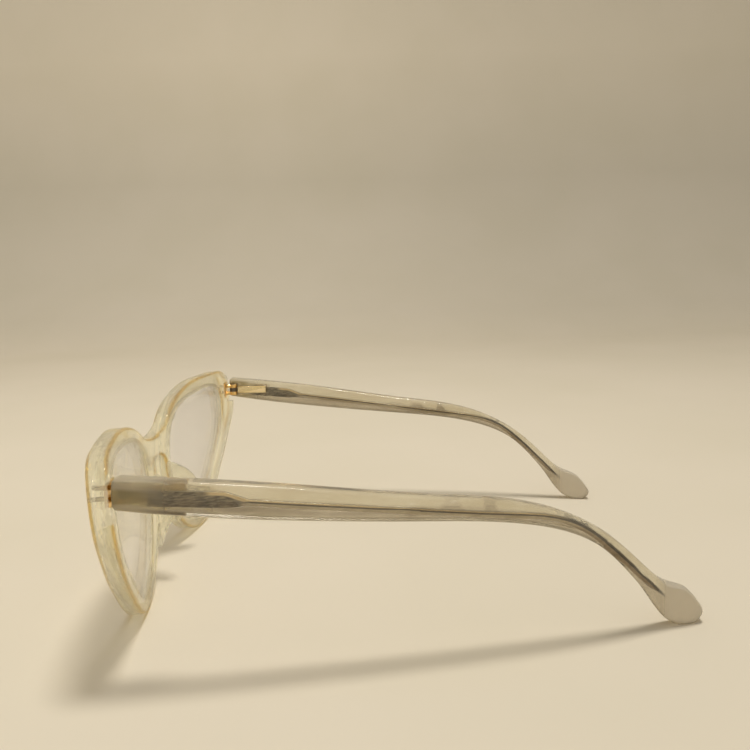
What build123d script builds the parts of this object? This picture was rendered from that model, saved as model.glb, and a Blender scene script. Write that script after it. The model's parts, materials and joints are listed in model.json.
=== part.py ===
from build123d import *
import math
import os

# Spectacle frame in clear acetate with sprung hinges, millimetres.
# +Z is up, the wearer looks along -Y, +X is the wearer's left. The frame stands open on
# its two rims and its two temple tips. Every left-hand piece is mirrored for the right.

# Lenses and rims
LENS_WIDTH = 49.2          # box width of one lens opening
LENS_HEIGHT = 40.3         # box height of one lens opening
LENS_GAP = 19.0            # between the two openings, across the nose
RIM_SILL = 3.4             # acetate under a lens
LENS_THICKNESS = 1.8
LENS_RADIUS = 230.0        # spherical curve of the lens
GROOVE_DEPTH = 0.9         # how far a lens edge sits in its rim
GROOVE_CLEARANCE = 0.04
# Points of a lens opening as shares of its half box, with the width of the rim there.
LENS_SHAPE = [
    (-0.16, -1.00, RIM_SILL),
    (-0.54, -0.84, 3.5),
    (-0.87, -0.46, 3.5),
    (-1.00, 0.05, 3.1),
    (-0.86, 0.64, 3.4),
    (-0.38, 0.93, 3.5),
    (0.24, 1.00, 4.2),
    (0.71, 0.98, 4.5),
    (0.95, 0.84, 8.2),
    (1.00, 0.54, 8.8),
    (0.95, 0.20, 5.4),
    (0.70, -0.21, 4.4),
    (0.43, -0.53, 4.2),
    (0.15, -0.86, 3.7),
]

# Front
FRONT_RADIUS = 240.0       # face form, seen from above
FRONT_THICKNESS = 4.5
FRONT_TILT = 3.0           # the brow leans forward of the sill, degrees
FRONT_BEVEL = 0.7
BRIDGE_SINK = 5.7          # bridge's top line at the nose, below the top of the lenses
BRIDGE_DEPTH = 6.0         # top line to arch
BRIDGE_BLEND = 15.0        # half span of the top line's dip
BRIDGE_DIP = 3.2           # how much lower the top line is at the nose
ARCH_HALF_WIDTH = 8.0
ARCH_RISE = 7.0
END_FLAT_HEIGHT = 10.0     # flat back of the end piece, where the temple closes
END_BLOCK_HEIGHT = 6.0     # raised seat of the hinge on that flat
END_BLOCK_WIDTH = 5.1
END_BLOCK_DEPTH = 2.0
END_BLOCK_EDGE = 0.6

# Temples
TEMPLE_THICKNESS = 4.0     # at the hinge
TIP_THICKNESS = 3.3
TEMPLE_OFFSET = 7.8        # outer face at the hinge, outside the lens opening
TIP_INSET = 18.2           # how far each tip comes in
TIP_BOW = 7.3              # the part of the inset that is curvature
SHAFT_LENGTH = 98.0        # hinge end to the corner of the ear bend
SHAFT_SLOPE = 7.35         # degrees below level
DROP_LENGTH = 36.0         # corner of the ear bend to the middle of the tip
DROP_SLOPE = 44.7          # degrees below level
EAR_RADIUS = 28.0
TEMPLE_BEVEL = 0.6
# Height of the temple above and below its centre line, at shares of that line's length.
TEMPLE_TOP = [
    (0.00, 3.2),
    (0.25, 3.7),
    (0.47, 3.2),
    (0.66, 2.2),
    (0.80, 1.6),
    (0.90, 1.9),
    (0.942, 2.5),
    (0.981, 4.5),
    (1.013, 4.2),
]
TEMPLE_TIP = [(1.035, 3.0), (1.038, 1.0), (1.022, -1.8)]
TEMPLE_BOTTOM = [
    (0.996, -3.5),
    (0.975, -3.7),
    (0.92, -2.4),
    (0.87, -1.6),
    (0.80, -1.5),
    (0.64, -2.0),
    (0.47, -2.35),
    (0.25, -3.45),
    (0.00, -3.2),
]

# Core of each temple: a blade behind the hinge, then a wire that ends in a point
CORE_WIDTH = 1.3           # wire, seen from the side
CORE_THICKNESS = 1.1
CORE_CLEARANCE = 0.05
CORE_SINK = 0.35           # below the temple's centre line
CORE_POINT_START = 0.915   # shares of the centre line
CORE_POINT_END = 0.965
BLADE_START = 7.0
BLADE_LENGTH = 15.0
BLADE_HEIGHT = 3.2
BLADE_DIP = 0.6            # front end below the temple's centre line
SHOULDER_LENGTH = 5.0

# Hinges
HINGE_INSET = 0.6          # axis inside the temple's inner face
HINGE_REACH = 1.8          # axis behind the temple's front end
HINGE_SINK = 3.5           # hinge middle below the top of the lenses
HINGE_DROP = 0.85          # hinge middle below the temple's centre line
JOINT_GAP = 0.95           # end piece to temple, room for the outward flex
KNUCKLE_RADIUS = 1.25
KNUCKLE_HEIGHT = 1.2
KNUCKLE_GAP = 0.06
EYE_HEIGHT = 1.3
ARM_WIDTH = 1.5
PLATE_WIDTH = 4.2
PLATE_SHIFT = 0.8          # plate's middle outboard of the axis
PLATE_HEIGHT = 4.6
PLATE_THICKNESS = 0.8
PRONG_RADIUS = 0.45
PRONG_LENGTH = 2.4
PRONG_SPACING = 2.2
SCREW_RADIUS = 0.55
SCREW_HEAD_RADIUS = 0.95
SCREW_HEAD_HEIGHT = 0.45
SLOT_WIDTH = 0.25
SLOT_DEPTH = 0.2
PIN_CLEARANCE = 0.04       # running fit on the screw and round the stem
FIT_CLEARANCE = 0.02       # pieces pressed or bonded in place
SWING_CLEARANCE = 0.3

# Spring box of each hinge
BOX_START = 1.9            # behind the axis
BOX_LENGTH = 10.3
BOX_SIDE = 2.4
BOX_WALL = 0.6             # front wall
BOX_EDGE_RADIUS = 0.25
BORE_RADIUS = 0.95
FLANGE_HEIGHT = 3.2
FLANGE_THICKNESS = 0.5
NECK_WIDTH = 1.5
NECK_HEIGHT = 1.1
STEM_RADIUS = 0.4
STEM_TAIL = 0.3            # past the stop
STOP_RADIUS = 0.85
STOP_LENGTH = 0.8
SPRING_LENGTH = 7.2
SPRING_WIRE = 0.26
SPRING_RADIUS = 0.68       # to the middle of the wire
SPRING_TURNS = 6

# Nose pads
PAD_THICKNESS = 3.2
PAD_SPLAY = 28.0           # degrees outward towards the back
PAD_FLARE = 15.0           # degrees outward towards the bottom
PAD_INSET = 0.5            # pad's middle, inside the edge of the lens opening
PAD_SINK = 14.7            # pad's top below the top of the lenses
PAD_HEIGHT = 21.0
PAD_DEPTH = 7.5
PAD_BEVEL = 0.8
# The pad's free edge: shares of its depth and height.
PAD_SHAPE = [
    (0.20, 0.95),
    (0.62, 0.82),
    (0.90, 0.68),
    (1.00, 0.55),
    (0.85, 0.43),
    (0.50, 0.30),
    (0.20, 0.12),
]

HALF_LENS_WIDTH = LENS_WIDTH / 2
HALF_LENS_HEIGHT = LENS_HEIGHT / 2
LENS_X = LENS_GAP / 2 + HALF_LENS_WIDTH
LENS_Z = RIM_SILL + HALF_LENS_HEIGHT
LENS_TOP = RIM_SILL + LENS_HEIGHT
BRIDGE_TOP = LENS_TOP - BRIDGE_SINK
PAD_X = LENS_GAP / 2 - PAD_INSET
PAD_TOP = LENS_TOP - PAD_SINK
TEMPLE_FACE = LENS_GAP / 2 + LENS_WIDTH + TEMPLE_OFFSET
HINGE_X = TEMPLE_FACE - TEMPLE_THICKNESS - HINGE_INSET
HINGE_HEIGHT = LENS_TOP - HINGE_SINK
STACK_HEIGHT = EYE_HEIGHT + 2 * (KNUCKLE_GAP + KNUCKLE_HEIGHT)
END_BACK = -JOINT_GAP      # the end piece's flat back; the temple's front end is at y = 0
STOP_START = BOX_START + BOX_WALL + SPRING_LENGTH
TALL = 90.0                # longer than any piece, for tools that cut right through
SHEET_RUN = 25.0           # deeper than the whole curve of the front
SHEET_LEAD = 5.0           # how far before the front its cutting tools start


def mirrored(shape):
    """The right-hand piece, from the left-hand one."""
    return mirror(shape, about=Plane.YZ)


def smooth_face(points):
    """A face inside a closed smooth curve through the points."""
    return make_face(Spline(*points, periodic=True))


# ---------------------------------------------------------------- front and lenses

def eye_points(distances):
    """Points of the left lens opening, each moved out by its own distance."""
    shape = [
        (LENS_X + across * HALF_LENS_WIDTH, LENS_Z + up * HALF_LENS_HEIGHT)
        for across, up, _ in LENS_SHAPE
    ]
    opening = Spline(*shape, periodic=True)
    moved = []
    for (x, z), distance in zip(shape, distances):
        tangent = opening.tangent_at(opening.param_at_point(Vector(x, z)))
        outward = Vector(tangent.Y, -tangent.X)
        if outward.dot(Vector(x - LENS_X, z - LENS_Z)) < 0:
            outward = -outward
        moved.append((x + distance * outward.X, z + distance * outward.Y))
    return moved


def even_ring(distance):
    """The face inside the lens opening grown by one distance all round."""
    return smooth_face(eye_points([distance] * len(LENS_SHAPE)))


def front_outline():
    """The front seen square on, before its openings: two rims and the bridge."""
    rim = smooth_face(eye_points([width for _, _, width in LENS_SHAPE]))
    dip = Spline(
        (-BRIDGE_BLEND, BRIDGE_TOP + BRIDGE_DIP),
        (0, BRIDGE_TOP),
        (BRIDGE_BLEND, BRIDGE_TOP + BRIDGE_DIP),
    )
    arch_top = BRIDGE_TOP - BRIDGE_DEPTH
    arch = ThreePointArc(
        (ARCH_HALF_WIDTH, arch_top - ARCH_RISE),
        (0, arch_top),
        (-ARCH_HALF_WIDTH, arch_top - ARCH_RISE),
    )
    right_end = Line(dip @ 1, arch @ 0)
    left_end = Line(arch @ 1, dip @ 0)
    bridge = make_face(Curve() + [dip, right_end, arch, left_end])
    return rim + mirror(rim, about=Plane.YZ) + bridge


def upright(face, start, depth):
    """A face drawn in (x, z), stood up and given a depth along +Y from start."""
    stood = Pos(0, start, 0) * (Rot(90, 0, 0) * face)
    return extrude(stood, amount=depth, dir=(0, 1, 0))


def front_sheet(front_offset, back_offset):
    """The curved sheet between two distances behind the front's foremost line."""
    centre = Pos(0, FRONT_RADIUS, 0)
    outer = centre * Cylinder(FRONT_RADIUS - front_offset, 2 * TALL)
    inner = centre * Cylinder(FRONT_RADIUS - back_offset, 2 * TALL)
    half = Box(2 * TALL, TALL, 2 * TALL)
    return (outer & half) - inner


def placed_front(shape, lift=0.0):
    """From the front's own upright frame to its tilted place against the hinges."""
    seat_x = HINGE_X + TEMPLE_THICKNESS / 2
    back = FRONT_THICKNESS + seat_x**2 / (2 * FRONT_RADIUS)
    lean = HINGE_HEIGHT * math.tan(math.radians(FRONT_TILT))
    return Pos(0, END_BACK - back + lean, lift) * (Rot(FRONT_TILT, 0, 0) * shape)


def lens(clearance):
    """A lens, or with a clearance its seat: a spherical sheet with a square edge."""
    face = even_ring(GROOVE_DEPTH + clearance)
    turn = math.degrees(math.asin(LENS_X / FRONT_RADIUS))
    middle = FRONT_RADIUS - FRONT_THICKNESS / 2
    surface = LENS_RADIUS + LENS_THICKNESS / 2 + clearance
    reach = middle - LENS_RADIUS
    centre = Pos(0, FRONT_RADIUS, LENS_Z) * Rot(0, 0, turn) * Pos(0, -reach, 0)
    ball = centre * Sphere(surface)
    hollow = centre * Sphere(surface - LENS_THICKNESS - 2 * clearance)
    blank = upright(face, -SHEET_LEAD, SHEET_RUN)
    return (blank & ball) - hollow


def front_blank():
    """The curved sheet with its outer edges bevelled, before anything is let into it."""
    sheet = upright(front_outline(), -SHEET_LEAD, SHEET_RUN) & front_sheet(0, FRONT_THICKNESS)
    sheet = chamfer(sheet.edges(), FRONT_BEVEL)
    opening = upright(even_ring(0), -SHEET_LEAD, SHEET_RUN)
    return sheet - opening - mirrored(opening)


def nose_pad():
    """The left pad: a bevelled fin bonded behind the rim, in the front's own frame."""
    root = (-FRONT_THICKNESS, 0)
    edge = [(PAD_DEPTH * back, PAD_HEIGHT * up) for back, up in PAD_SHAPE]
    free_edge = Spline((0, PAD_HEIGHT), *edge, (0, 0))
    foot = Polyline((0, 0), root, (root[0], PAD_HEIGHT), (0, PAD_HEIGHT))
    fin = extrude(Plane.YZ * make_face(Curve() + [free_edge, foot]), PAD_THICKNESS / 2, both=True)
    fin = chamfer(fin.edges(), PAD_BEVEL)
    fin = Pos(0, 0, -PAD_HEIGHT / 2) * fin
    turned = Rot(0, -PAD_FLARE, 0) * (Rot(0, 0, -PAD_SPLAY) * fin)
    standing = Pos(PAD_X, FRONT_THICKNESS, PAD_TOP - PAD_HEIGHT / 2) * turned
    return standing - front_sheet(-2 * FRONT_THICKNESS, FRONT_THICKNESS + FIT_CLEARANCE)


# ---------------------------------------------------------------- temples

def temple_path():
    """The temple's centre line, seen from the side: (back, up)."""
    start = (0, HINGE_HEIGHT + HINGE_DROP)
    slope = math.radians(SHAFT_SLOPE)
    corner = (
        start[0] + SHAFT_LENGTH * math.cos(slope),
        start[1] - SHAFT_LENGTH * math.sin(slope),
    )
    drop = math.radians(DROP_SLOPE)
    end = (corner[0] + DROP_LENGTH * math.cos(drop), corner[1] - DROP_LENGTH * math.sin(drop))
    return FilletPolyline(start, corner, end, radius=EAR_RADIUS)


CENTRE_LINE = temple_path()
TEMPLE_REACH = (CENTRE_LINE @ 1).X


def beside(share, rise):
    """The point at a share of the centre line, moved square to it; it runs on past its end."""
    inside = min(share, 1.0)
    tangent = CENTRE_LINE % inside
    point = CENTRE_LINE @ inside + tangent * (share - inside) * CENTRE_LINE.length
    return (point.X - tangent.Y * rise, point.Y + tangent.X * rise)


def run_in_from(share):
    """How far the temple's outer face has come in at a share of its reach."""
    return (TIP_INSET - TIP_BOW) * share + TIP_BOW * share**2


def plan_line(depth_at_hinge, depth_at_tip):
    """The temple's curve seen from above, some depth in from its outer face."""
    points = []
    for share in (-0.05, 0.25, 0.5, 0.75, 1.1):
        depth = depth_at_hinge + (depth_at_tip - depth_at_hinge) * share
        x = TEMPLE_FACE - run_in_from(share) - depth
        points.append((x, share * TEMPLE_REACH))
    return Spline(*points)


def plan_strip(near, far):
    """A tall curved strip between two depths, each given at the hinge and at the tip."""
    outer = plan_line(*near)
    inner = plan_line(*far)
    ends = [Line(outer @ 0, inner @ 0), Line(inner @ 1, outer @ 1)]
    strip = make_face(Curve() + [outer, inner] + ends)
    return Pos(0, 0, -TALL / 2) * extrude(strip, 2 * TALL)


def side_solid(face):
    """A face drawn in (back, up), given width across the left half of the frame."""
    return extrude(Plane.YZ * face, TALL, dir=(1, 0, 0))


def temple_blank():
    """The left temple's acetate with its edges bevelled, before anything is let in."""
    top = Spline(*[beside(*point) for point in TEMPLE_TOP + TEMPLE_TIP + TEMPLE_BOTTOM])
    end = Line(top @ 1, top @ 0)
    side = side_solid(make_face(Curve() + [top, end]))
    strip = plan_strip((0, 0), (TEMPLE_THICKNESS, TIP_THICKNESS))
    blank = side & strip & (Pos(0, TALL, 0) * Box(2 * TALL, 2 * TALL, 2 * TALL))
    return chamfer(blank.edges(), TEMPLE_BEVEL)


def core(clearance):
    """The left temple's core, or with a clearance the channel that it lies in."""
    half = CORE_WIDTH / 2 + clearance
    length = CENTRE_LINE.length
    blade_end = BLADE_START + BLADE_LENGTH
    shares = [(blade_end - 1) / length, 0.3, 0.45, 0.6, 0.66, 0.73, 0.80, CORE_POINT_START]
    upper = Spline(*[beside(share, half - CORE_SINK) for share in shares])
    lower = Spline(*[beside(share, -half - CORE_SINK) for share in shares])
    tip = beside(CORE_POINT_END + clearance / length, 0)
    point = [Line(upper @ 1, tip), Line(tip, lower @ 1)]
    wire = make_face(Curve() + [upper, lower, Line(lower @ 0, upper @ 0)] + point)
    high = BLADE_HEIGHT / 2 + clearance
    blade = Polygon(
        beside((BLADE_START - clearance) / length, high - BLADE_DIP),
        beside(blade_end / length, high),
        beside((blade_end + SHOULDER_LENGTH) / length, half - CORE_SINK),
        beside((blade_end + SHOULDER_LENGTH) / length, -half - CORE_SINK),
        beside(blade_end / length, -high),
        beside((BLADE_START - clearance) / length, -high - BLADE_DIP),
        align=None,
    )
    margins = [
        (thickness - CORE_THICKNESS) / 2 - clearance
        for thickness in (TEMPLE_THICKNESS, TIP_THICKNESS)
    ]
    depth = CORE_THICKNESS + 2 * clearance
    strip = plan_strip(margins, [margin + depth for margin in margins])
    return (side_solid(blade) + side_solid(wire)) & strip


# ---------------------------------------------------------------- hinges

def hinge_place(shape, turned):
    """From a hinge's own frame, its axis on Z, to its place; turned in line with the temple."""
    turn = math.degrees(math.atan((TIP_INSET - TIP_BOW) / TEMPLE_REACH))
    return Pos(HINGE_X, HINGE_REACH, HINGE_HEIGHT) * (Rot(0, 0, turn if turned else 0) * shape)


def upright_rod(radius, bottom, top):
    """A round rod on the hinge axis between two heights."""
    return Pos(0, 0, (bottom + top) / 2) * Cylinder(radius, top - bottom)


def rod_back(radius, start, end, z=0.0):
    """A round rod along +Y between two distances behind the hinge axis."""
    return Pos(0, (start + end) / 2, z) * (Rot(90, 0, 0) * Cylinder(radius, end - start))


def block(x_span, y_span, z_span):
    """A block between two places on each axis."""
    corner = Pos(x_span[0], y_span[0], z_span[0])
    size = [span[1] - span[0] for span in (x_span, y_span, z_span)]
    return corner * Box(*size, align=(Align.MIN, Align.MIN, Align.MIN))


def front_hinge(clearance=0.0):
    """The left plate with its prongs and two knuckles; with a clearance, its seat."""
    face = END_BACK - HINGE_REACH
    back = face - PLATE_THICKNESS - clearance
    wide = PLATE_WIDTH / 2 + clearance
    high = PLATE_HEIGHT / 2 + clearance
    plate = block((-wide, wide), (back, face + clearance), (-high, high))
    for z in (-PRONG_SPACING / 2, PRONG_SPACING / 2):
        plate += rod_back(PRONG_RADIUS + clearance, back - PRONG_LENGTH - clearance, back, z)
    plate = Pos(PLATE_SHIFT, 0, 0) * plate
    if clearance:
        return plate
    low = EYE_HEIGHT / 2 + KNUCKLE_GAP
    top = STACK_HEIGHT / 2
    for bottom in (low, -top):
        arm = block((-ARM_WIDTH / 2, ARM_WIDTH / 2), (face, 0), (bottom, bottom + KNUCKLE_HEIGHT))
        plate += arm + upright_rod(KNUCKLE_RADIUS, bottom, bottom + KNUCKLE_HEIGHT)
    plate -= upright_rod(SCREW_RADIUS + FIT_CLEARANCE, -TALL, TALL)
    head_seat = top - SCREW_HEAD_HEIGHT - FIT_CLEARANCE
    return plate - upright_rod(SCREW_HEAD_RADIUS + FIT_CLEARANCE, head_seat, TALL)


def hinge_screw():
    """The slotted screw that the temple swings on, its head flush in the top knuckle."""
    top = STACK_HEIGHT / 2
    under_head = top - SCREW_HEAD_HEIGHT
    screw = upright_rod(SCREW_RADIUS, -top, under_head)
    screw += upright_rod(SCREW_HEAD_RADIUS, under_head, top)
    return screw - block((-TALL, TALL), (-SLOT_WIDTH / 2, SLOT_WIDTH / 2), (top - SLOT_DEPTH, TALL))


def slider():
    """The eye on the screw, with the stem that the spring pulls into its box."""
    eye = upright_rod(KNUCKLE_RADIUS, -EYE_HEIGHT / 2, EYE_HEIGHT / 2)
    neck_end = BOX_START - FIT_CLEARANCE
    half = NECK_WIDTH / 2
    high = NECK_HEIGHT / 2
    neck = block((-half, half), (0, neck_end), (-high, high))
    stem = rod_back(STEM_RADIUS, neck_end - 0.1, STOP_START + STOP_LENGTH + STEM_TAIL)
    return eye + neck + stem - upright_rod(SCREW_RADIUS + PIN_CLEARANCE, -TALL, TALL)


def spring_stop():
    """The collar pressed on the stem's tail, which the spring pushes against."""
    start = STOP_START + FIT_CLEARANCE
    collar = rod_back(STOP_RADIUS, start, start + STOP_LENGTH)
    return collar - rod_back(STEM_RADIUS + FIT_CLEARANCE, 0, TALL)


def coil_spring():
    """The compression spring between the box's front wall and the stop."""
    run = SPRING_LENGTH - SPRING_WIRE - 2 * FIT_CLEARANCE
    helix = Helix(pitch=run / SPRING_TURNS, height=run, radius=SPRING_RADIUS)
    section = Plane(origin=helix @ 0, z_dir=helix % 0) * RegularPolygon(SPRING_WIRE / 2, 4)
    wire = sweep(section, path=helix, is_frenet=True)
    start = BOX_START + BOX_WALL + FIT_CLEARANCE + SPRING_WIRE / 2
    return Pos(0, start, 0) * (Rot(-90, 0, 0) * wire)


def box_body(clearance):
    """The spring box's outside with the flange that anchors it in the temple."""
    ends = (BOX_START - clearance, BOX_START + BOX_LENGTH + clearance)
    half = BOX_SIDE / 2 + clearance
    body = block((-half, half), ends, (-half, half))
    high = FLANGE_HEIGHT / 2 + clearance
    inner = BOX_SIDE / 2 - clearance
    return body + block((inner, half + FLANGE_THICKNESS), ends, (-high, high))


def spring_box():
    """The box let into the temple's inner face; its bore is closed behind by the acetate."""
    bore_start = BOX_START + BOX_WALL
    body = box_body(0)
    inner_edges = body.edges().filter_by(Axis.Y).group_by(Axis.X)[0]
    body = fillet(inner_edges, BOX_EDGE_RADIUS)
    body -= rod_back(BORE_RADIUS, bore_start, TALL)
    return body - rod_back(STEM_RADIUS + PIN_CLEARANCE, 0, TALL)


def knuckle_recess():
    """What is cut from the temple's front end so that it clears the knuckles as it swings."""
    radius = KNUCKLE_RADIUS + SWING_CLEARANCE
    top = STACK_HEIGHT / 2 + SWING_CLEARANCE
    way_out = block((-TALL, radius), (-TALL, 0), (-top, top))
    neck_side = NECK_WIDTH / 2 + SWING_CLEARANCE
    neck_high = NECK_HEIGHT / 2 + SWING_CLEARANCE
    neck_way = block((-TALL, neck_side), (0, BOX_START), (-neck_high, neck_high))
    return upright_rod(radius, -top, top) + way_out + neck_way


# ---------------------------------------------------------------- assembly

def left_temple():
    """The finished left temple."""
    shaft = temple_blank() - core(CORE_CLEARANCE)
    shaft -= hinge_place(box_body(FIT_CLEARANCE), True)
    return shaft - hinge_place(knuckle_recess(), True)


def finished_front(lift):
    """The front with its end pieces, lens grooves and hinge seats, in its place."""
    sheet = placed_front(front_blank(), lift)
    inner_x = HINGE_X + PLATE_SHIFT - PLATE_WIDTH / 2 - END_BLOCK_EDGE
    half = END_BLOCK_HEIGHT / 2
    seat_heights = (HINGE_HEIGHT - half, HINGE_HEIGHT + half)
    depths = (END_BACK - END_BLOCK_DEPTH, END_BACK)
    end_block = block((inner_x, inner_x + END_BLOCK_WIDTH), depths, seat_heights)
    seat_edges = end_block.faces().sort_by(Axis.Y)[-1].edges().sort_by(Axis.X)[:-1]
    end_block = fillet(seat_edges, END_BLOCK_EDGE)
    shaved = block((inner_x, TALL), (END_BACK, TALL), (HINGE_HEIGHT - END_FLAT_HEIGHT / 2, TALL))
    seat = hinge_place(front_hinge(FIT_CLEARANCE), False)
    groove = placed_front(lens(GROOVE_CLEARANCE), lift)
    sheet = sheet + end_block + mirrored(end_block) - shaved - mirrored(shaved)
    return sheet - seat - mirrored(seat) - groove - mirrored(groove)


temple = left_temple()
floor = temple.bounding_box().min.Z
front_lift = floor - placed_front(front_blank()).bounding_box().min.Z
front = finished_front(front_lift)

left_pieces = {
    "nose_pad": placed_front(nose_pad(), front_lift),
    "lens": placed_front(lens(0), front_lift),
    "front_hinge": hinge_place(front_hinge(), False),
    "hinge_screw": hinge_place(hinge_screw(), False),
    "slider": hinge_place(slider(), True),
    "spring_stop": hinge_place(spring_stop(), True),
    "coil_spring": hinge_place(coil_spring(), True),
    "spring_box": hinge_place(spring_box(), True),
    "temple": temple,
    "core_wire": core(0),
}

pieces = {"front": front}
for name, shape in left_pieces.items():
    pieces["left_" + name] = shape
    pieces["right_" + name] = mirrored(shape)

boxes = [shape.bounding_box() for shape in (front, temple)]
middle_y = (min(box.min.Y for box in boxes) + max(box.max.Y for box in boxes)) / 2
settle = Pos(0, -middle_y, -floor)

os.makedirs("parts", exist_ok=True)
for name, shape in pieces.items():
    export_step(settle * shape, "parts/" + name + ".step")
axis_point = settle * Pos(HINGE_X, HINGE_REACH, HINGE_HEIGHT)
print("left hinge axis at", axis_point.position, "temple line", TEMPLE_REACH)
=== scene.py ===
import json
import math

import bmesh
import bpy
from mathutils import Matrix, Vector
from mathutils.bvhtree import BVHTree


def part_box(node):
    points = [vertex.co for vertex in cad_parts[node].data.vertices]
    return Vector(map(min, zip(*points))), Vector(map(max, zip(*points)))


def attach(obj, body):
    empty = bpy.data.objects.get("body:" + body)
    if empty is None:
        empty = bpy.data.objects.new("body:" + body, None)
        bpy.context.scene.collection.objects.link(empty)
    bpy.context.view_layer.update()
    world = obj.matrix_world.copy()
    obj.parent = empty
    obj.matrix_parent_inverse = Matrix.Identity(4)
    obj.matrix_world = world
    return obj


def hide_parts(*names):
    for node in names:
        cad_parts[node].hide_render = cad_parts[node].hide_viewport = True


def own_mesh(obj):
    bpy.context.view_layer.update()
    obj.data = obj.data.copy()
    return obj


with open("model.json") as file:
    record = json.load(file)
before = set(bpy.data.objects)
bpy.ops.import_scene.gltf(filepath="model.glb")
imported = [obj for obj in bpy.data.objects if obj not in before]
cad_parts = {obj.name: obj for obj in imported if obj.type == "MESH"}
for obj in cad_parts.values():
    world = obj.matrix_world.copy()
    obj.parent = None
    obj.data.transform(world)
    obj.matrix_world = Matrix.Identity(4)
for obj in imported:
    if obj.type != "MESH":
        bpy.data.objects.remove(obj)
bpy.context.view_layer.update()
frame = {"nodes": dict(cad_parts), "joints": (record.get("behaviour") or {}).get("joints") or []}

# ---------------------------------------------------------------- table, backdrop and light
# The frame stands open on a plain cream table that sweeps up into a plain wall. A wide soft
# lamp above throws the shadows, and the room's own light fills them.

CREAM = [(0.3, (0.745, 0.665, 0.51)), (0.7, (0.775, 0.69, 0.54))]
MOTTLE_SCALE = 9.0
SHADE_HEIGHT = 0.5
# Painted shade: a factor on the board's colour by height, darker part way up the wall.
PAINTED_HEIGHT_SHADE = [
    (0.0, (0.93, 0.93, 0.93)),
    (0.05, (0.87, 0.87, 0.87)),
    (0.40, (0.80, 0.80, 0.79)),
    (0.75, (1.0, 1.0, 1.0)),
]
# Painted light and shade: the board's colour is lighter to the left and darker to the right.
PAINTED_SIDE_SHADE = {"From Min": -0.25, "From Max": 0.25, "To Min": 1.08, "To Max": 0.92}
SWEEP_STEPS = 16


class Value:
    """One output of a material's node, so that sums on it add the nodes that they need."""

    def __init__(self, finish, output):
        self.finish = finish
        self.output = output

    def _sum(self, operation, first, second):
        return self.finish.node("Math", {"operation": operation}, {0: first, 1: second})

    def __add__(self, other):
        return self._sum("ADD", self, other)

    def __radd__(self, other):
        return self._sum("ADD", other, self)

    def __sub__(self, other):
        return self._sum("SUBTRACT", self, other)

    def __rsub__(self, other):
        return self._sum("SUBTRACT", other, self)

    def __mul__(self, other):
        return self._sum("MULTIPLY", self, other)

    def __rmul__(self, other):
        return self._sum("MULTIPLY", other, self)


class Finish:
    """A material, built from its nodes."""

    def __init__(self, name):
        self.material = bpy.data.materials.new(name)
        self.material.use_nodes = True
        self.tree = self.material.node_tree
        self.tree.nodes.clear()

    def node(self, kind, settings=None, sockets=None, output=0):
        """A node with its settings, then the values or links of its sockets."""
        made = self.tree.nodes.new("ShaderNode" + kind)
        for name, setting in (settings or {}).items():
            if name == "stops":
                ramp = made.color_ramp
                while len(ramp.elements) < len(setting):
                    ramp.elements.new(0.5)
                for element, (place, colour) in zip(ramp.elements, setting):
                    element.position = place
                    element.color = (*colour, 1)
            else:
                setattr(made, name, setting)
        for name, value in (sockets or {}).items():
            if isinstance(value, Value):
                self.tree.links.new(value.output, made.inputs[name])
            elif made.inputs[name].type == "RGBA":
                made.inputs[name].default_value = (*value, 1)
            else:
                made.inputs[name].default_value = value
        return Value(self, made.outputs[output])

    def place(self):
        """Where a point of the piece is, in metres."""
        return self.node("TexCoord", output="Object")

    def drawn(self, stretch, turn=(0, 0, 0)):
        """The piece's own place, stretched along the way it was drawn or polished."""
        sockets = {"Vector": self.place(), "Rotation": turn, "Scale": stretch}
        return self.node("Mapping", {}, sockets)

    def noise(self, vector, scale, detail=4.0, roughness=0.5):
        sockets = {"Vector": vector, "Scale": scale, "Detail": detail, "Roughness": roughness}
        return self.node("TexNoise", {}, sockets)

    def ramp(self, factor, stops):
        """Numbers turned to colours between the stops."""
        return self.node("ValToRGB", {"stops": stops}, {"Fac": factor})

    def mixed(self, factor, first, second):
        sockets = {"Factor": factor, "A": first, "B": second}
        made = self.tree.nodes.new("ShaderNodeMix")
        made.data_type = "RGBA"
        for name, value in sockets.items():
            kind = "VALUE" if name == "Factor" else "RGBA"
            socket = [s for s in made.inputs if s.name == name and s.type == kind][0]
            if isinstance(value, Value):
                self.tree.links.new(value.output, socket)
            else:
                socket.default_value = (*value, 1) if kind == "RGBA" else value
        return Value(self, [s for s in made.outputs if s.type == "RGBA"][0])

    def bump(self, height, strength, depth):
        sockets = {"Height": height, "Strength": strength, "Distance": depth}
        return self.node("Bump", {}, sockets)

    def done(self, surface, volume=None):
        out = self.tree.nodes.new("ShaderNodeOutputMaterial")
        self.tree.links.new(surface.output, out.inputs["Surface"])
        if volume:
            self.tree.links.new(volume.output, out.inputs["Volume"])
        return self.material


def table_finish():
    """Matt cream board, with painted shade: a little darker to the right and half way up the
    wall.
    """
    cream = Finish("cream_board")
    mottle = cream.noise(cream.place(), MOTTLE_SCALE, 3.0)
    colour = cream.ramp(mottle, CREAM)
    across = cream.node("SeparateXYZ", {}, {"Vector": cream.place()}, "Y")
    height = cream.node("SeparateXYZ", {}, {"Vector": cream.place()}, "Z")
    # Painted shade by height and painted light and shade from left to right both multiply the
    # board's colour.
    painted_shade_by_height = cream.ramp(height * (1 / SHADE_HEIGHT), PAINTED_HEIGHT_SHADE)
    painted_side_range = {"Value": across, **PAINTED_SIDE_SHADE}
    side = cream.node("MapRange", {"interpolation_type": "SMOOTHSTEP"}, painted_side_range)
    colour = cream.node("VectorMath", {"operation": "MULTIPLY"}, {0: colour, 1: painted_shade_by_height})
    colour = cream.node("VectorMath", {"operation": "SCALE"}, {0: colour, "Scale": side})
    board = cream.node("BsdfPrincipled", {}, {"Base Color": colour, "Roughness": 0.85})
    return cream.done(board)


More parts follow.
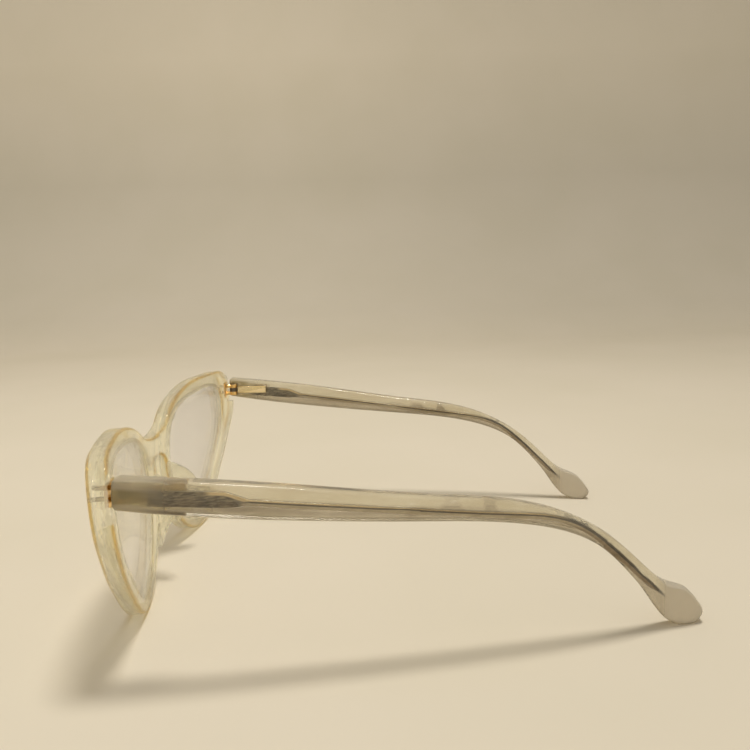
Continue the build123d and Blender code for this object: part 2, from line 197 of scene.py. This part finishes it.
def swept_table(front_edge, sweep_start, sweep_radius, height, half_width):
    """A floor that curves up into a wall behind the far temple."""
    profile = [(front_edge, 0.0), (sweep_start, 0.0)]
    for step in range(1, SWEEP_STEPS + 1):
        angle = math.pi / 2 * step / SWEEP_STEPS
        back = sweep_start - sweep_radius * math.sin(angle)
        profile.append((back, sweep_radius * (1 - math.cos(angle))))
    profile.append((sweep_start - sweep_radius, height))
    mesh = bpy.data.meshes.new("table")
    points = [(x, y, z) for x, z in profile for y in (-half_width, half_width)]
    faces = [(2 * i, 2 * i + 1, 2 * i + 3, 2 * i + 2) for i in range(len(profile) - 1)]
    mesh.from_pydata(points, [], faces)
    mesh.shade_smooth()
    mesh.materials.append(table_finish())
    table = bpy.data.objects.new("table", mesh)
    bpy.context.scene.collection.objects.link(table)
    return table


swept_table(
    front_edge=3.0,
    sweep_start=-0.55,
    sweep_radius=0.35,
    height=2.5,
    half_width=3.0,
)


def soft_lamp(name, place, aim, size, power, colour):
    lamp = bpy.data.lights.new(name, "AREA")
    lamp.shape = "DISK"
    lamp.size = size
    lamp.energy = power
    lamp.color = colour
    stand = bpy.data.objects.new(name, lamp)
    stand.location = place
    stand.rotation_euler = (Vector(aim) - Vector(place)).to_track_quat("-Z", "Y").to_euler()
    bpy.context.scene.collection.objects.link(stand)
    return stand


WARM_WHITE = (1.0, 0.98, 0.95)
ROOM_STRENGTH = 0.5
ROOM_SEEN = (0.76, 0.68, 0.50)
soft_lamp(
    "ceiling_lamp",
    place=(-0.02, 0.06, 0.85),
    aim=(0.0, 0.0, 0.02),
    size=0.2,
    power=4.2,
    colour=WARM_WHITE,
)

world = bpy.data.worlds.new("room")
bpy.context.scene.world = world
world.use_nodes = True
room = world.node_tree
room.nodes.clear()
daylight = room.nodes.new("ShaderNodeBackground")
daylight.inputs["Color"].default_value = (*WARM_WHITE, 1)
daylight.inputs["Strength"].default_value = ROOM_STRENGTH
walls = room.nodes.new("ShaderNodeBackground")
walls.inputs["Color"].default_value = (*ROOM_SEEN, 1)
rays = room.nodes.new("ShaderNodeLightPath")
seen = room.nodes.new("ShaderNodeMath")
seen.operation = "MAXIMUM"
room.links.new(rays.outputs["Is Camera Ray"], seen.inputs[0])
seen_through = room.nodes.new("ShaderNodeMath")
seen_through.operation = "MAXIMUM"
room.links.new(rays.outputs["Is Glossy Ray"], seen_through.inputs[0])
room.links.new(rays.outputs["Is Transmission Ray"], seen_through.inputs[1])
room.links.new(seen_through.outputs[0], seen.inputs[1])
shown = room.nodes.new("ShaderNodeMixShader")
room.links.new(seen.outputs[0], shown.inputs["Fac"])
room.links.new(daylight.outputs[0], shown.inputs[1])
room.links.new(walls.outputs[0], shown.inputs[2])
sky = room.nodes.new("ShaderNodeOutputWorld")
room.links.new(shown.outputs[0], sky.inputs["Surface"])

SENSOR_WIDTH = 36.0
FOCAL_LENGTH = 35.86
NEAREST_SEEN = 0.005
YAW, PITCH, ROLL = (math.radians(angle) for angle in (0.30, 8.70, -1.74))
CAMERA_RIGHT = 0.20992
CAMERA_BACK = 0.0526
CAMERA_HEIGHT = 0.08575
camera_data = bpy.data.cameras.new("camera")
camera_data.sensor_width = SENSOR_WIDTH
camera_data.lens = FOCAL_LENGTH
camera_data.clip_start = NEAREST_SEEN
camera = bpy.data.objects.new("camera", camera_data)
bpy.context.scene.collection.objects.link(camera)
forward = Vector((
    -math.cos(YAW) * math.cos(PITCH),
    math.sin(YAW) * math.cos(PITCH),
    -math.sin(PITCH),
))
level = forward.cross(Vector((0, 0, 1))).normalized()
upright = level.cross(forward)
right = level * math.cos(ROLL) + upright * math.sin(ROLL)
up = upright * math.cos(ROLL) - level * math.sin(ROLL)
temple_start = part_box("left_temple")[0].y
camera_place = Vector((CAMERA_RIGHT, temple_start + CAMERA_BACK, CAMERA_HEIGHT))
camera_turn = Matrix((right, up, -forward)).transposed().to_4x4()
camera.matrix_world = Matrix.Translation(camera_place) @ camera_turn
bpy.context.scene.camera = camera
bpy.context.scene.view_settings.view_transform = "Standard"

# ---------------------------------------------------------------- front
# The front is milled from one sheet of crystal acetate, bent to the face and tumbled until
# its edges are round. The sheet is clear across and straw-yellow where it is seen edge on.

SHARP = 32
ROUNDED = 60
SAME_POINT = 0.000002


def polished(node, body, slot, *finishes, crease=SHARP):
    """A CAD piece with its facets polished smooth, which stands for it."""
    mesh = frame["nodes"][node].data.copy()
    mesh.name = node + "_polished"
    work = bmesh.new()
    work.from_mesh(mesh)
    bmesh.ops.remove_doubles(work, verts=work.verts, dist=SAME_POINT)
    work.to_mesh(mesh)
    work.free()
    mesh.materials.clear()
    for finish in finishes:
        mesh.materials.append(finish)
    mesh.set_sharp_from_angle(angle=math.radians(crease))
    piece = bpy.data.objects.new(node + "_polished", mesh)
    if crease == ROUNDED:
        softened = piece.modifiers.new("softened_bevels", "WEIGHTED_NORMAL")
        softened.keep_sharp = True
    bpy.context.scene.collection.objects.link(piece)
    for face in mesh.polygons:
        face.material_index = 0
    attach(piece, body)
    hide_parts(node)
    return piece


STRAW = [(0.35, (0.97, 0.93, 0.66)), (0.65, (1.0, 0.975, 0.80))]
AMBER = (0.985, 0.95, 0.70)
RESIN_AMBER = (0.98, 0.74, 0.26)
AMBER_NOSE = {"From Min": 0.022, "From Max": 0.004}
AMBER_FOOT = {"From Min": 0.018, "From Max": 0.0}
THROUGH_TINT = {"Color": (0.985, 0.94, 0.66), "Density": 10.0}
CLEAR_IOR = 1.42
CLEAR_SHARE = 0.55
MILK_ROUGHNESS = 0.3
MILK_IOR = 1.49
MILK_THROUGH = 0.3


def layered(acetate, haze, colour, roughness, ior, alpha):
    """Clear acetate with a share of milky acetate in it."""
    glass = acetate.node("BsdfPrincipled", {}, {
        "Base Color": colour,
        "Roughness": roughness,
        "IOR": ior,
        "Transmission Weight": 1.0,
        "Alpha": alpha,
    })
    milk = acetate.node("BsdfPrincipled", {}, {
        "Base Color": colour,
        "Roughness": MILK_ROUGHNESS,
        "IOR": MILK_IOR,
        "Transmission Weight": MILK_THROUGH,
    })
    return acetate.node("MixShader", {}, {"Fac": haze, 1: glass, 2: milk})


def clear_acetate(name, amber_least, haze, amber_colour):
    """Crystal acetate, yellower at the bridge and at the foot of each rim."""
    acetate = Finish(name)
    straw = acetate.ramp(acetate.noise(acetate.place(), 60.0, 3.0), STRAW)
    across = acetate.node("SeparateXYZ", {}, {"Vector": acetate.place()}, "X")
    height = acetate.node("SeparateXYZ", {}, {"Vector": acetate.place()}, "Z")
    across = acetate.node("Math", {"operation": "ABSOLUTE"}, {0: across})
    nose = acetate.node("MapRange", {}, {"Value": across, **AMBER_NOSE})
    foot = acetate.node("MapRange", {}, {"Value": height, **AMBER_FOOT})
    amber = acetate.node("Math", {"operation": "MAXIMUM"}, {0: nose, 1: foot})
    streak = acetate.noise(acetate.drawn((1.0, 1.0, 0.5)), 190.0, 4.0)
    share = amber_least + amber * (1.0 - amber_least) * 1.2 * streak
    colour = acetate.mixed(share, straw, amber_colour)
    polish = acetate.noise(acetate.place(), 420.0, 5.0)
    roughness = 0.01 + polish * 0.03
    surface = layered(acetate, haze, colour, roughness, CLEAR_IOR, CLEAR_SHARE)
    return acetate.done(surface, acetate.node("VolumeAbsorption", {}, THROUGH_TINT))


CLEAR = clear_acetate("clear_acetate", 0.0, 0.08, AMBER)
EDGE = clear_acetate("acetate_edge", 0.5, 0.16, AMBER)
RESIN = clear_acetate("hinge_resin", 0.95, 0.15, RESIN_AMBER)
FACE_RADIUS = 0.240
BEVEL_LEAN = (0.45, 0.88)
RESIN_ACROSS = (-0.0018, 0.0030)
RESIN_HALF_HEIGHT = 0.0027
RESIN_DEPTH = 0.0065
front = polished("front", "front_unit", "clear_acetate", CLEAR, EDGE, RESIN, crease=ROUNDED)
hinge = Vector(frame["joints"][0]["pos_m"])
for face in front.data.polygons:
    middle = face.center
    lean = abs(face.normal.y * math.cos(middle.x / FACE_RADIUS))
    if BEVEL_LEAN[0] < lean < BEVEL_LEAN[1]:
        face.material_index = 1
    beside = RESIN_ACROSS[0] < abs(middle.x) - hinge.x < RESIN_ACROSS[1]
    level_with = abs(middle.z - hinge.z) < RESIN_HALF_HEIGHT
    if beside and level_with and middle.y > hinge.y - RESIN_DEPTH:
        face.material_index = 2
for side in ("left", "right"):
    polished(side + "_nose_pad", "front_unit", "clear_acetate", CLEAR, crease=ROUNDED)

# ---------------------------------------------------------------- lenses
# The lenses are thin clear plastic, ground to a shallow curve and sprung into the groove of
# each rim. Their coating leaves a faint cool cast, and their ground edge is matt.

LENS_IOR = 1.5
COOL_CAST = (0.79, 0.80, 0.90)
GROUND_PLASTIC = [(0.35, (0.88, 0.87, 0.80)), (0.65, (0.97, 0.96, 0.92))]
EDGE_LEAN = 0.80


def lens_finish():
    """Coated plastic with a few faint smears."""
    lens = Finish("coated_lens")
    smear = lens.noise(lens.drawn((1.0, 1.0, 0.5)), 90.0, 4.0)
    surface = lens.node("BsdfPrincipled", {}, {
        "Base Color": COOL_CAST,
        "Roughness": smear * 0.02,
        "IOR": LENS_IOR,
        "Transmission Weight": 1.0,
        "Alpha": 0.5,
    })
    return lens.done(surface)


def ground_edge():
    """The lens's edge, left matt from the wheel."""
    edge = Finish("ground_lens_edge")
    scratch = edge.noise(edge.place(), 2500.0, 4.0)
    surface = edge.node("BsdfPrincipled", {}, {
        "Base Color": edge.ramp(scratch, GROUND_PLASTIC),
        "Roughness": 0.45,
        "IOR": LENS_IOR,
        "Transmission Weight": 0.4,
        "Alpha": 0.35,
    })
    return edge.done(surface)


LENS = lens_finish()
GROUND = ground_edge()
for side in ("left", "right"):
    lens = polished(side + "_lens", "front_unit", "lens", LENS, GROUND)
    for face in lens.data.polygons:
        if abs(face.normal.y) < EDGE_LEAN:
            face.material_index = 1

# ---------------------------------------------------------------- hinges
# Each hinge is a small plate with two prongs let into the end piece, a sprung eye on a slotted
# screw between its knuckles, and a bright box that is let into the temple.

STREAK_SCALE = 900.0
STREAK_DEPTH = 0.00003
PRONG_START = 0.0050


def metal(name, low, high, roughness, stretch=(1, 1, 1)):
    """Plated metal, streaked the way that it was drawn."""
    plate = Finish(name)
    streak = plate.noise(plate.drawn(stretch), STREAK_SCALE, 5.0)
    surface = plate.node("BsdfPrincipled", {}, {
        "Base Color": plate.ramp(streak, [(0.3, low), (0.7, high)]),
        "Metallic": 1.0,
        "Roughness": roughness + streak * 0.15,
        "Normal": plate.bump(streak, 0.2, STREAK_DEPTH),
    })
    return plate.done(surface)


DARK = metal("dark_plate", (0.10, 0.085, 0.07), (0.22, 0.19, 0.16), 0.25)
GILT = metal("gilt_plate", (0.84, 0.54, 0.20), (0.95, 0.70, 0.34), 0.14)
BOX = metal("bright_gilt", (0.86, 0.70, 0.42), (0.95, 0.82, 0.56), 0.08, (1, 0.1, 1))
STEEL = metal("spring_steel", (0.45, 0.44, 0.42), (0.60, 0.59, 0.56), 0.25)
for side in ("left", "right"):
    plate = polished(side + "_front_hinge", "front_unit", "dark_metal", GILT, DARK)
    for face in plate.data.polygons:
        if face.center.y < hinge.y - PRONG_START:
            face.material_index = 1
    polished(side + "_hinge_screw", "front_unit", "dark_metal", STEEL)
    polished(side + "_slider", side + "_slider_unit", "dark_metal", DARK)
    polished(side + "_spring_stop", side + "_slider_unit", "dark_metal", DARK)
    polished(side + "_spring_box", side + "_temple_unit", "gilt_metal", BOX)

# ---------------------------------------------------------------- coil springs
# A small spring wound from steel wire lies round each slider's stem, inside the spring box.
# The stop squeezes it towards the box's front wall when the temple is pushed outward.

COIL_LENGTH = 0.00690
COIL_RADIUS = 0.00068
COIL_WIRE = 0.00013
COIL_TURNS = 8.0
COIL_START = 0.00263
POINTS_A_TURN = 20
POINTS_ROUND_WIRE = 10


def coil_tree():
    """A wound wire along +Z, from its length, radius, turns and the wire's radius."""
    tree = bpy.data.node_groups.new("wound_spring", "GeometryNodeTree")
    for name in ("Length", "Radius", "Turns", "Wire"):
        tree.interface.new_socket(name, in_out="INPUT", socket_type="NodeSocketFloat")
    tree.interface.new_socket("Geometry", in_out="OUTPUT", socket_type="NodeSocketGeometry")
    sizes = tree.nodes.new("NodeGroupInput")
    spiral = tree.nodes.new("GeometryNodeCurveSpiral")
    spiral.inputs["Resolution"].default_value = POINTS_A_TURN
    tree.links.new(sizes.outputs["Turns"], spiral.inputs["Rotations"])
    tree.links.new(sizes.outputs["Radius"], spiral.inputs["Start Radius"])
    tree.links.new(sizes.outputs["Radius"], spiral.inputs["End Radius"])
    tree.links.new(sizes.outputs["Length"], spiral.inputs["Height"])
    section = tree.nodes.new("GeometryNodeCurvePrimitiveCircle")
    section.inputs["Resolution"].default_value = POINTS_ROUND_WIRE
    tree.links.new(sizes.outputs["Wire"], section.inputs["Radius"])
    wire = tree.nodes.new("GeometryNodeCurveToMesh")
    wire.inputs["Fill Caps"].default_value = True
    tree.links.new(spiral.outputs["Curve"], wire.inputs["Curve"])
    tree.links.new(section.outputs["Curve"], wire.inputs["Profile Curve"])
    smooth = tree.nodes.new("GeometryNodeSetShadeSmooth")
    tree.links.new(wire.outputs["Mesh"], smooth.inputs["Geometry"])
    real = tree.nodes.new("GeometryNodeRealizeInstances")
    tree.links.new(smooth.outputs["Geometry"], real.inputs["Geometry"])
    finish = tree.nodes.new("GeometryNodeSetMaterial")
    finish.inputs["Material"].default_value = STEEL
    tree.links.new(real.outputs["Geometry"], finish.inputs["Geometry"])
    out = tree.nodes.new("NodeGroupOutput")
    tree.links.new(finish.outputs["Geometry"], out.inputs["Geometry"])
    return tree


COIL_TREE = coil_tree()


def wound_mesh(name, sizes):
    """The coil tree's result for these sizes, as a plain mesh."""
    maker = bpy.data.objects.new(name + "_maker", bpy.data.meshes.new(name + "_maker"))
    bpy.context.scene.collection.objects.link(maker)
    made = maker.modifiers.new("wound", "NODES")
    made.node_group = COIL_TREE
    for socket in COIL_TREE.interface.items_tree:
        if socket.in_out == "INPUT":
            made[socket.identifier] = sizes[socket.name]
    bpy.context.view_layer.update()
    graph = bpy.context.evaluated_depsgraph_get()
    mesh = bpy.data.meshes.new_from_object(maker.evaluated_get(graph))
    bpy.data.objects.remove(maker)
    return mesh


joints = {joint["name"]: joint for joint in frame["joints"]}
for side in ("left", "right"):
    fold = joints[side + "_fold"]
    slide = joints[side + "_spring"]
    along = Vector(slide["axis"]).normalized()
    start = Vector(fold["pos_m"]) + along * (COIL_START + COIL_WIRE)
    sizes = {"Length": COIL_LENGTH, "Radius": COIL_RADIUS, "Turns": COIL_TURNS, "Wire": COIL_WIRE}
    mesh = wound_mesh(side + "_spring_coil", sizes)
    turned = along.to_track_quat("Z", "Y").to_matrix().to_4x4()
    mesh.transform(Matrix.Translation(start) @ turned)
    coil = bpy.data.objects.new(side + "_spring_coil", mesh)
    bpy.context.scene.collection.objects.link(coil)
    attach(coil, side + "_temple_unit")
    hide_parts(side + "_coil_spring")
    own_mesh(coil)

# ---------------------------------------------------------------- temples
# Each temple is milky acetate, shot over a rolled metal core that broadens to a blade behind
# the hinge. The acetate is bent over the ear and rounded, and its paddle tip is left matt.

TIP_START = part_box("left_temple")[1].y - 0.0125
TIP_BLEND = 0.004
OLIVE_END = temple_start + 0.0130
OLIVE_BLEND = 0.010
BLADE_END = temple_start + 0.0235
BLADE_BLEND = 0.004
BEND_START = temple_start + 0.085
BEND_BLEND = 0.012
# Painted highlight: a bright gold line along the core's upper faces, from the blade to the ear
# bend.
PAINTED_HIGHLIGHT_START = BLADE_END - 0.006
PAINTED_HIGHLIGHT_BLEND = 0.002
CHANNEL_GAP = 0.00015
END_DEPTH = 0.0012
MILKY_IOR = 1.38
UPPER = [(0.36, (0.70, 0.64, 0.49)), (0.60, (0.87, 0.825, 0.69))]
PEARL = (1.0, 0.98, 0.9)
# Smoke mottle below the core, with its darkness as painted shade.
LOWER_SMOKE_AND_PAINTED_SHADE = [
    (0.38, (0.43, 0.375, 0.28)),
    (0.50, (0.60, 0.545, 0.44)),
    (0.66, (0.70, 0.645, 0.54)),
]
OLIVE = [
    (0.12, (0.70, 0.61, 0.43)),
    (0.25, (0.45, 0.37, 0.19)),
    (0.62, (0.45, 0.37, 0.19)),
    (0.75, (0.70, 0.61, 0.43)),
]
MATT_TIP = (0.74, 0.67, 0.54)
BLADE = [(0.42, (0.05, 0.037, 0.025)), (0.60, (0.34, 0.28, 0.19))]
WIRE = [(0.35, (0.68, 0.62, 0.51)), (0.65, (0.92, 0.86, 0.74))]
BEND = [(0.35, (0.40, 0.33, 0.24)), (0.65, (0.66, 0.56, 0.42))]
DARK_LINE = (0.05, 0.035, 0.025)
# Painted highlight colour for the core's upper faces.
PAINTED_TOP_HIGHLIGHT = (1.0, 0.80, 0.50)


def mark_rise(mesh, least):
    """Store how high a point lies between the piece's lower and upper edge, from 0 to 1."""
    rise = mesh.attributes.new("rise", "FLOAT", "POINT")
    for face in mesh.polygons:
        if face.normal.z > least:
            for corner in face.vertices:
                rise.data[corner].value = 1.0
    first = min(point.co.y for point in mesh.vertices)
    end = [point for point in mesh.vertices if point.co.y < first + END_DEPTH]
    low = min(point.co.z for point in end)
    high = max(point.co.z for point in end)
    for point in end:
        rise.data[point.index].value = (point.co.z - low) / (high - low)


def stage_along(finish, start, blend):
    """From 0 to 1 past a place along the temple."""
    back = finish.node("SeparateXYZ", {}, {"Vector": finish.place()}, "Y")
    ends = {"Value": back, "From Min": start, "From Max": start + blend}
    return finish.node("MapRange", {"interpolation_type": "SMOOTHSTEP"}, ends)


def milky_acetate():
    """Smoky acetate, pearly above the core, greyer below it with painted shade, and olive at the
    hinge.
    """
    acetate = Finish("milky_acetate")
    smoke = acetate.noise(acetate.drawn((1.0, 0.16, 1.0)), 150.0, 5.0, 0.65)
    rise = acetate.node("Attribute", {"attribute_name": "rise"}, output="Fac")
    pearl = acetate.noise(acetate.drawn((1.0, 0.3, 1.0), (0.3, 0, 0)), 700.0, 4.0, 0.7)
    pearly = acetate.ramp(pearl, [(0.62, (0, 0, 0)), (0.70, (1, 1, 1))])
    upper = acetate.mixed(pearly, acetate.ramp(smoke, UPPER), PEARL)
    # Below the core, the smoke colour is darkened with painted shade.
    lower = acetate.ramp(smoke, LOWER_SMOKE_AND_PAINTED_SHADE)
    above = acetate.node("MapRange", {}, {"Value": rise, "From Min": 0.42, "From Max": 0.55})
    shaft = acetate.mixed(above, lower, upper)
    front_part = 1.0 - stage_along(acetate, OLIVE_END - OLIVE_BLEND, OLIVE_BLEND)
    tip = stage_along(acetate, TIP_START, TIP_BLEND)
    colour = acetate.mixed(front_part, shaft, acetate.ramp(rise, OLIVE))
    colour = acetate.mixed(tip, colour, MATT_TIP)
    grain = acetate.noise(acetate.place(), 500.0, 4.0)
    roughness = 0.01 + grain * 0.03 + tip * 0.35
    haze = 0.12 + smoke * 0.14 + front_part * 0.5 + tip * 0.5
    return acetate.done(layered(acetate, haze, colour, roughness, MILKY_IOR, 1.0))


def channel_wall():
    """The polished wall of the channel that the core lies in."""
    wall = Finish("channel_wall")
    surface = wall.node("BsdfPrincipled", {}, {
        "Base Color": (1.0, 1.0, 1.0),
        "Roughness": wall.noise(wall.place(), 500.0, 3.0) * 0.02,
        "IOR": MILKY_IOR,
        "Transmission Weight": 1.0,
    })
    return wall.done(surface)


def core_metal():
    """Rolled metal: smudged and dark on the blade, paler along the wire, with a painted gold
    highlight along its upper edge before the ear bend.
    """
    core = Finish("rolled_core")
    smudge = core.noise(core.drawn((1.0, 0.16, 1.0)), 2600.0, 5.0, 0.7)
    rise = core.node("Attribute", {"attribute_name": "rise"}, output="Fac")
    past_blade = stage_along(core, BLADE_END, BLADE_BLEND)
    past_bend = stage_along(core, BEND_START, BEND_BLEND)
    side = core.mixed(past_blade, core.ramp(smudge, BLADE), core.ramp(smudge, WIRE))
    side = core.mixed(past_bend, side, core.ramp(smudge, BEND))
    dark = core.node("MapRange", {}, {"Value": rise, "From Min": 0.50, "From Max": 0.60})
    side = core.mixed(dark * past_blade, side, DARK_LINE)
    # Painted highlight: the upward-facing faces are coloured bright gold and made less metallic.
    top_highlight_rise = core.node("MapRange", {}, {"Value": rise, "From Min": 0.78, "From Max": 0.84})
    top = top_highlight_rise * stage_along(core, PAINTED_HIGHLIGHT_START, PAINTED_HIGHLIGHT_BLEND) * (1.0 - past_bend)
    surface = core.node("BsdfPrincipled", {}, {
        "Base Color": core.mixed(top, side, PAINTED_TOP_HIGHLIGHT),
        "Metallic": 1.0 - top * 0.8,
        "Roughness": 0.28 + smudge * 0.2,
        "Normal": core.bump(smudge, 0.2, STREAK_DEPTH),
    })
    return core.done(surface)


def finish_beside(outer, inner, gap, index):
    """Give the outer piece's faces that lie against the inner piece a finish of their own."""
    places = [point.co for point in inner.data.vertices]
    surface = BVHTree.FromPolygons(places, [face.vertices for face in inner.data.polygons])
    for face in outer.data.polygons:
        corners = [outer.data.vertices[corner].co for corner in face.vertices]
        if all(surface.find_nearest(corner)[3] < gap for corner in corners):
            face.material_index = index


MILKY = milky_acetate()
CHANNEL = channel_wall()
CORE = core_metal()
for side in ("left", "right"):
    body = side + "_temple_unit"
    shaft = polished(side + "_temple", body, "milky_acetate", MILKY, CHANNEL, crease=ROUNDED)
    mark_rise(shaft.data, 0.2)
    core = polished(side + "_core_wire", body, "core_metal", CORE)
    mark_rise(core.data, 0.6)
    finish_beside(shaft, core, CHANNEL_GAP, 1)
